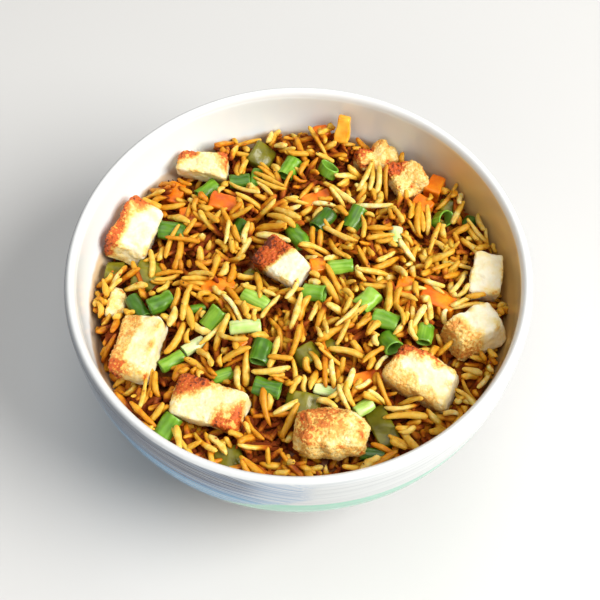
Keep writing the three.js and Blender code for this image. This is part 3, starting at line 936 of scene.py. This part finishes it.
# A grain rests as a rod on the highest line through two points of what is under it, one on each side of
# its middle, or on its middle where that is higher.
def restingLines(heights, x, y, turn, length, radius):
    stations = np.linspace(-0.86, 0.86, 9)
    side = np.array([-0.7, 0, 0.7])
    s = stations * length[:, None] / 2
    t = side * radius[:, None]
    cos = np.cos(turn)[:, None, None]
    sin = np.sin(turn)[:, None, None]
    px = x[:, None, None] + s[:, :, None] * cos - t[:, None, :] * sin
    py = y[:, None, None] + s[:, :, None] * sin + t[:, None, :] * cos
    under = heights[mapIndex(px), mapIndex(py)]
    lift = rice["press"] * np.sqrt(radius[:, None] ** 2 - t**2)
    axis = (under + lift[:, None, :]).max(-1)
    left = axis[:, :4]
    right = axis[:, 5:]
    sLeft = s[:, :4]
    sRight = s[:, 5:]
    slope = (right[:, None, :] - left[:, :, None]) / (sRight[:, None, :] - sLeft[:, :, None])
    level = left[:, :, None] - slope * sLeft[:, :, None]
    best = level.reshape(len(x), -1).argmax(1)
    pick = np.arange(len(x))
    height = level.reshape(len(x), -1)[pick, best]
    tilt = slope.reshape(len(x), -1)[pick, best]
    middle = axis[:, 4]
    least = ((right - middle[:, None]) / sRight).max(1)
    most = ((left - middle[:, None]) / sLeft).min(1)
    tipped = np.where(np.abs(least) < np.abs(most), least, most)
    high = middle > height
    return np.where(high, middle, height), np.where(high, tipped, tilt), px, py


def stampGrain(heights, grain):
    s = np.linspace(-0.95, 0.95, 27)
    t = np.linspace(-0.9, 0.9, 7)
    half = grain["radius"] * grainSwell(s)[:, None]
    along = (s * grain["length"] / 2)[:, None] + 0 * t
    across = t * half + grain["bow"] * (s**2)[:, None]
    x = grain["x"] + along * math.cos(grain["turn"]) - across * math.sin(grain["turn"])
    y = grain["y"] + along * math.sin(grain["turn"]) + across * math.cos(grain["turn"])
    top = grain["z"] + grain["slope"] * along + half * np.sqrt(1 - t**2)
    np.maximum.at(heights, (mapIndex(x), mapIndex(y)), top)


def clumps(x, y):  # mm by which the rice's top rises in clumps and falls in hollows
    flat = np.stack([x, y, 0 * x], -1)
    return rice["relief"] * wobble(flat, rice["reliefSize"], 77, 12)


def spreadPlaces(grains, draw):  # anywhere in the bowl, or beside a grain that lies there already
    tries = rice["tries"]
    if grains and draw.uniform() < rice["bundled"]:
        beside = grains[draw.integers(max(0, len(grains) - rice["last"]), len(grains))]
        turn = beside["turn"] + draw.normal(0, rice["besideTurn"], tries)
        along = draw.uniform(-rice["besideShift"], rice["besideShift"], tries)
        across = draw.uniform(*rice["besideGap"], tries) * draw.choice([-1, 1], tries) * 2 * beside["radius"]
        x = beside["x"] + along * np.cos(turn) - across * np.sin(turn)
        y = beside["y"] + along * np.sin(turn) + across * np.cos(turn)
        return x, y, turn
    out = rice["within"] * np.sqrt(draw.uniform(0, 1, tries))
    bearing = draw.uniform(0, 2 * math.pi, tries)
    return out * np.cos(bearing), out * np.sin(bearing), draw.uniform(0, math.pi, tries)


# Each grain is the best of a few tries: the lowest that keeps inside the bowl, off the toppings and under
# the ceiling. Between other grains it settles and tips by chance.
def dropGrains(count, heights, covered, ceiling, draw, share=1.0):
    grains = []
    for _ in range(count):
        tries = rice["tries"]
        x, y, turn = spreadPlaces(grains, draw)
        length = draw.uniform(*rice["length"], tries) * share
        radius = draw.uniform(*rice["width"], tries) / 2
        z, slope, px, py = restingLines(heights, x, y, turn, length, radius)
        reach = np.hypot(px, py).max((1, 2)) + rice["margin"]
        over = covered[mapIndex(px), mapIndex(py)].mean((1, 2))
        above = z - heapTop(x, y) - clumps(x, y)
        settle = draw.uniform(0, 1, tries) ** 1.1
        z = z - rice["sink"] * settle * (over == 0)
        slope = slope + draw.normal(0, rice["lean"], tries) * (over == 0)
        bad = (reach > innerRadiusAt(z)) | (np.abs(slope) > rice["steepest"]) | (over > rice["overMost"])
        bad |= above > ceiling + rice["overProud"] * (over > 0.04)
        score = above + 2.0 * over + 100.0 * bad
        pick = int(score.argmin())
        if bad[pick]:
            continue
        grain = {
            "x": x[pick], "y": y[pick], "z": z[pick], "turn": turn[pick], "slope": slope[pick],
            "length": length[pick], "radius": radius[pick], "bow": rice["bow"] * draw.uniform(-1, 1),
        }
        stampGrain(heights, grain)
        grains.append(grain)
    return grains


# A planted grain stands at a slope with its lower half among the others.
def plantGrains(count, heights, covered, draw):
    grains = []
    for _ in range(count):
        out = rice["plantedWithin"] * math.sqrt(draw.uniform())
        bearing = draw.uniform(0, 2 * math.pi)
        turn = draw.uniform(0, 2 * math.pi)
        x = out * math.cos(bearing)
        y = out * math.sin(bearing)
        line = np.linspace(-5, 5, 5)
        if covered[mapIndex(x + line * math.cos(turn)), mapIndex(y + line * math.sin(turn))].any():
            continue
        slope = draw.uniform(*rice["plantedSlope"])
        length = draw.uniform(*rice["length"])
        high = length / 2 * math.cos(math.atan(slope))
        if math.hypot(x + high * math.cos(turn), y + high * math.sin(turn)) > rice["within"]:
            continue
        top = heights[mapIndex(x), mapIndex(y)]
        z = min(top - rice["plantedSink"], heapTop(x, y) + rice["plantedProud"])
        grain = {
            "x": x, "y": y, "z": z, "turn": turn, "slope": slope, "length": length,
            "radius": draw.uniform(*rice["width"]) / 2, "bow": rice["bow"] * draw.uniform(-1, 1),
        }
        stampGrain(heights, grain)
        grains.append(grain)
    return grains


manyRings = np.array([-0.97, -0.85, -0.45, 0, 0.45, 0.85, 0.97])  # places along half a grain's length
fewRings = np.array([-0.95, -0.6, 0, 0.6, 0.95])


grainLook = {
    "ringSize": 0.1,  # share, as a deviation, that a ring is thicker or thinner
    "taper": 0.18,
    "waist": 0.07,
    "slant": 0.7,  # of an end, in radii
    "curl": 0.5,  # mm that the ends swing to opposite sides
    "flat": (0.78, 0.98),  # height over width
    "droop": (-0.6, 0.3),  # mm at the ends
    "uneven": 0.06,
}


# The highest top near each cell of the map: the greatest in a disc, then the mean of a square.
def nearTops(heights):
    cells = int(rice["reach"] / mapStep)
    offsets = [(i, j) for i in range(-cells, cells + 1) for j in range(-cells, cells + 1)]
    tops = np.max([np.roll(heights, o, (0, 1)) for o in offsets if math.hypot(*o) <= cells], axis=0)
    return np.mean([np.roll(tops, o, (0, 1)) for o in offsets], axis=0)


# A grain's skin: rings along its length swell from blunt slanting ends, each ring a little thicker or
# thinner, and its middle line bows sideways as the square of the way along. The layer deep, for
# painted shade between grains, grows with the way down from the highest tops near by.
def grainMesh(grains, grainRings, around, seed, tops):
    angle = circle(around)
    s = np.concatenate([np.repeat(grainRings, around), [-1.0, 1.0]])
    a = np.concatenate([np.tile(angle, len(grainRings)), [0.0, 0.0]])
    length, radius, bow, turn, slope = (
        np.array([g[key] for g in grains])[:, None] for key in ("length", "radius", "bow", "turn", "slope")
    )
    look = grainLook
    draw = np.random.default_rng(seed)
    each = (len(grains), 1)

    def either(most):  # a number for each grain, from -most to most
        return draw.uniform(-most, most, each)

    ringSize = 1 + draw.normal(0, look["ringSize"], (len(grains), len(grainRings)))
    swell = grainSwell(s) * np.concatenate([np.repeat(ringSize, around, 1), np.ones((len(grains), 2))], 1)
    taper = 1 + either(look["taper"]) * s + either(look["waist"]) * np.cos(5 * s)
    slant = either(look["slant"]) * np.cos(a + draw.uniform(0, 6.3, each)) * (np.abs(s) > 0.8)
    x = length / 2 * s + slant * radius * swell
    y = radius * swell * taper * np.cos(a) + bow * s**2 + either(look["curl"]) * s**3
    flat = draw.uniform(*look["flat"], each)
    z = flat * radius * swell * taper * np.sin(a) + draw.uniform(*look["droop"], each) * s**2
    uneven = 1 + draw.normal(0, look["uneven"], (len(grains), len(s)))
    middleLine = bow * s**2
    y = middleLine + (y - middleLine) * uneven
    z = z * uneven
    lean = np.arctan(slope)
    xTilted = x * np.cos(lean) - z * np.sin(lean)
    zTilted = x * np.sin(lean) + z * np.cos(lean)
    middle = np.array([[g["x"], g["y"], g["z"]] for g in grains])[:, None, :]
    points = np.stack([
        xTilted * np.cos(turn) - y * np.sin(turn),
        xTilted * np.sin(turn) + y * np.cos(turn),
        zTilted,
    ], -1) + middle
    perGrain = len(s)
    ring = np.arange(around)
    quads = gridQuads(len(grainRings), around, True)
    caps = np.concatenate([
        fan(ring, perGrain - 2, True),
        fan(ring + (len(grainRings) - 1) * around, perGrain - 1, False),
    ])
    shift = (np.arange(len(grains)) * perGrain)[:, None, None]
    shade = np.repeat(draw.uniform(0, 1, each), perGrain, 1)
    points = points.reshape(-1, 3)
    deep = (tops[mapIndex(points[:, 0]), mapIndex(points[:, 1])] - points[:, 2]) / rice["dark"]
    layers = {"shade": shade.ravel(), "deep": np.clip(deep, 0, 1), "along": np.tile(np.abs(s), len(grains))}
    return points, (quads + shift).reshape(-1, 4), (caps + shift).reshape(-1, 3), layers


riceStops = [
    (0.00, (0.22, 0.034, 0.0003)),
    (0.20, (0.42, 0.105, 0.0008)),
    (0.38, (0.56, 0.215, 0.004)),
    (0.55, (0.66, 0.335, 0.022)),
    (0.72, (0.72, 0.450, 0.062)),
    (0.88, (0.80, 0.61, 0.185)),
    (1.00, (0.88, 0.79, 0.44)),
]


# Paler or browner by the grain's own shade and in patches, and browner toward the grain's ends. Painted
# light and shade: paler near a place right of the middle and browner away from it, and browner deep
# between others, where it is rougher too.
def riceFinish():
    finish = Finish("fried_rice", specular=0.25, under=0.45, underScale=0.002, underRadius=(1, 0.5, 0.15))
    x, y = finish.axes()[:2]
    # Painted light and shade: paler near a spot right of the middle, browner toward the wall that shades the
    # rice.
    fromLightPool = ((x - 0.028) * (x - 0.028) + (y - 0.004) * (y - 0.004)).math("SQRT")
    shade = finish.attribute("shade")
    patch = finish.noise(55, 2.0)
    stain = finish.noise(480, 4.0)
    outward = fromLightPool.between(0.020, 0.090)
    deep = finish.attribute("deep").between(0.15, 0.90)
    tone = 0.715 + (shade - 0.5) * 0.42 + (patch - 0.5) * 0.5 + (stain - 0.5) * 0.6
    tone = tone - outward * 0.12 - deep * (0.54 + outward * 0.14)
    tone = tone - finish.attribute("along").between(0.6, 1.0) * 0.06
    finish.set(colour=finish.ramp(tone, riceStops))
    finish.set(rough=0.44 + deep * 0.4)
    finish.bump(stain, 0.4, 0.0004)
    return finish.material


coreLook = {
    "around": 180,
    "rings": 45,
    "wallRings": 24,
    "lump": 0.5,  # mm
    "lumpSize": 4.0,
    "crowding": 1.6,  # the higher, the closer the wall's rings are to the floor
    "stops": [(0.3, (0.13, 0.020, 0.0005)), (0.7, (0.42, 0.12, 0.003))],
}


def coreFinish():  # painted shade: dark brown to brown with noise, seen in the gaps between the grains
    finish = Finish("rice_below", rough=0.5)
    tone = finish.noise(300, 3.0)
    finish.set(colour=finish.ramp(tone, coreLook["stops"]))
    finish.bump(tone, 0.6, 0.001)
    return finish.material


# Rings run out over the core's top, sunk below the heap and roughened, then down inside the bowl.
def addCore():
    look = coreLook
    around = look["around"]
    out = np.linspace(0, 1, look["rings"] + 1)[1:]
    angle = circle(around)
    topEdge = heapTop(innerRim * np.cos(angle), innerRim * np.sin(angle)) - heap["coreSink"]
    edgeRadius = innerRadiusAt(topEdge) - heap["gap"]
    radius = out[:, None] * edgeRadius
    x = radius * np.cos(angle)
    y = radius * np.sin(angle)
    flat = np.stack([x, y, 0 * x], -1)
    lumps = look["lump"] * wobble(flat, look["lumpSize"], 5, 20)
    z = heapTop(x, y) - heap["coreSink"] + lumps * (out[:, None] < 0.98)
    fall = np.linspace(1, 0, look["wallRings"] + 2)[1:-1, None]
    floor = bowl["floor"] + heap["gap"]
    wallHeight = floor + (z[-1] - floor) * fall ** look["crowding"]
    wallRadius = innerRadiusAt(wallHeight - heap["gap"]) - heap["gap"]
    wall = np.stack([wallRadius * np.cos(angle), wallRadius * np.sin(angle), wallHeight], -1)
    rings = np.concatenate([np.stack([x, y, z], -1), wall])
    count = rings.shape[0] * around
    peak = [0, 0, heapTop(0.0, 0.0) - heap["coreSink"]]
    points = np.concatenate([rings.reshape(-1, 3), [peak, [0, 0, floor]]])
    ring = np.arange(around)
    quads = gridQuads(rings.shape[0], around, True)[:, ::-1]
    triangles = np.concatenate([fan(ring, count, False), fan(ring + count - around, count + 1, True)])
    makePiece("rice_core", points, quads, triangles, coreFinish(), "rice_heap")


def addGrains(name, grains, rings, around, seed, material, tops):
    points, quads, caps, layers = grainMesh(grains, rings, around, seed, tops)
    makePiece(name, points, quads, caps, material, "rice_heap", layers)
    print(name, "has", len(grains), "grains and", 2 * len(quads) + len(caps), "triangles")


# Flecks of spice are rounded blocks, each turned and stretched its own way, half sunk in a grain.
def addSpecks(grainTops):
    draw = np.random.default_rng(specks["seed"])
    count = specks["count"]
    out = specks["within"] * np.sqrt(draw.uniform(0, 1, count))
    bearing = draw.uniform(0, 2 * math.pi, count)
    x = out * np.cos(bearing)
    y = out * np.sin(bearing)
    middle = np.stack([x, y, grainTops[mapIndex(x), mapIndex(y)] - specks["sink"]], -1)
    cube, quads = blockGrid([3, 3, 3])
    turns = np.linalg.qr(draw.normal(size=(count, 3, 3)))[0]
    turns *= np.sign(np.linalg.det(turns))[:, None, None]
    sizes = draw.uniform(*specks["size"], (count, 1, 3)) / 2
    points = (rounded(cube, 3)[None] * sizes) @ turns + middle[:, None]
    shift = np.arange(count)[:, None, None] * len(cube)
    shade = np.repeat(draw.uniform(0, 1, count), len(cube))
    finish = Finish("spice", rough=0.5)
    finish.set(colour=finish.ramp(finish.attribute("shade"), specks["stops"]))
    points = points.reshape(-1, 3)
    quads = (quads + shift).reshape(-1, 4)
    makePiece("rice_spice", points, quads, [], finish.material, "rice_heap", {"shade": shade})


def layRice():
    draw = np.random.default_rng(rice["seed"])
    grid = np.arange(mapCells) * mapStep - mapHalf
    gx, gy = np.meshgrid(grid, grid, indexing="ij")
    heights = heapTop(gx, gy) - heap["coreSink"]
    covered = np.zeros_like(heights)
    below = dropGrains(rice["lower"], heights, covered, rice["lowerProud"], draw)
    for points, weight in toppingTops:
        spot = (mapIndex(points[:, 0]), mapIndex(points[:, 1]))
        np.maximum.at(heights, spot, points[:, 2])
        covered[spot] = weight
    for x, y, radius in rice["hollows"]:
        covered[np.hypot(gx - x, gy - y) < radius] = 1
    above = dropGrains(rice["upper"], heights, covered, rice["proud"], draw)
    above += plantGrains(rice["planted"], heights, covered, draw)
    broken = dropGrains(rice["broken"], heights, covered, rice["proud"], draw, rice["brokenShare"])
    grainTops = heapTop(gx, gy) - heap["coreSink"]
    for grain in below + above + broken:
        stampGrain(grainTops, grain)
    tops = nearTops(grainTops)
    material = riceFinish()
    addGrains("rice_below", below, fewRings, 5, 31, material, tops)
    addGrains("rice_above", above, manyRings, 6, 32, material, tops)
    addGrains("rice_broken", broken, fewRings, 6, 33, material, tops)
    addSpecks(grainTops)


addCore()
layRice()
print("rice is made")

# Floor and light

lights = {
    "key": {"from": (0.95, -0.29, 0.95), "size": (0.9, 0.9), "power": 27.5, "colour": (1.0, 0.985, 0.955)},
    "top": {"from": (-0.15, 0.0, 1.5), "size": (1.2, 1.2), "power": 8.5, "colour": (1.0, 0.98, 0.95)},
    "back": {"from": (0.2, 1.2, 0.8), "size": (0.9, 0.9), "power": 4.0, "colour": (1.0, 1.0, 1.0)},
    "front": {"from": (-0.45, -1.0, 0.75), "size": (1.0, 0.8), "power": 3.0, "colour": (1.0, 0.99, 0.97)},
    "table": {"from": (-0.62, -0.78, 0.05), "size": (1.0, 0.08), "power": 1.6, "colour": (1.0, 1.0, 1.0)},
}


def addLight(name, light):
    data = bpy.data.lights.new(name, "AREA")
    data.shape = "ELLIPSE"
    data.size, data.size_y = light["size"]
    data.energy = light["power"]
    data.color = light["colour"]
    spot = Vector(light["from"])
    addAimed(name, data, spot, (Vector((0, 0, 50 * mm)) - spot).to_track_quat("-Z", "Y"))


surroundings = {
    "floorHalf": 3.0,  # metres from its middle to a side
    "floorStops": [(0, (0.58, 0.58, 0.575)), (1, (0.62, 0.62, 0.615))],
    "sky": (1, 0.96, 0.9),
    "skyStrength": 0.11,
}


def addFloor():
    finish = Finish("pale_floor", rough=0.6)
    finish.set(colour=finish.ramp(finish.noise(3.0, 2.0), surroundings["floorStops"]))
    half = surroundings["floorHalf"]
    corners = [(-half, -half, 0), (half, -half, 0), (half, half, 0), (-half, half, 0)]
    mesh = bpy.data.meshes.new("floor")
    mesh.from_pydata(corners, [], [(0, 1, 2, 3)])
    mesh.materials.append(finish.material)
    floor = bpy.data.objects.new("floor", mesh)
    bpy.context.scene.collection.objects.link(floor)


def addWorld():
    world = bpy.data.worlds.new("studio")
    world.use_nodes = True
    sky = world.node_tree.nodes["Background"]
    sky.inputs["Color"].default_value = (*surroundings["sky"], 1)
    sky.inputs["Strength"].default_value = surroundings["skyStrength"]
    bpy.context.scene.world = world
    bpy.context.scene.view_settings.view_transform = "Standard"


for name, light in lights.items():
    addLight(name, light)
addFloor()
addWorld()
print("floor and lights are set")
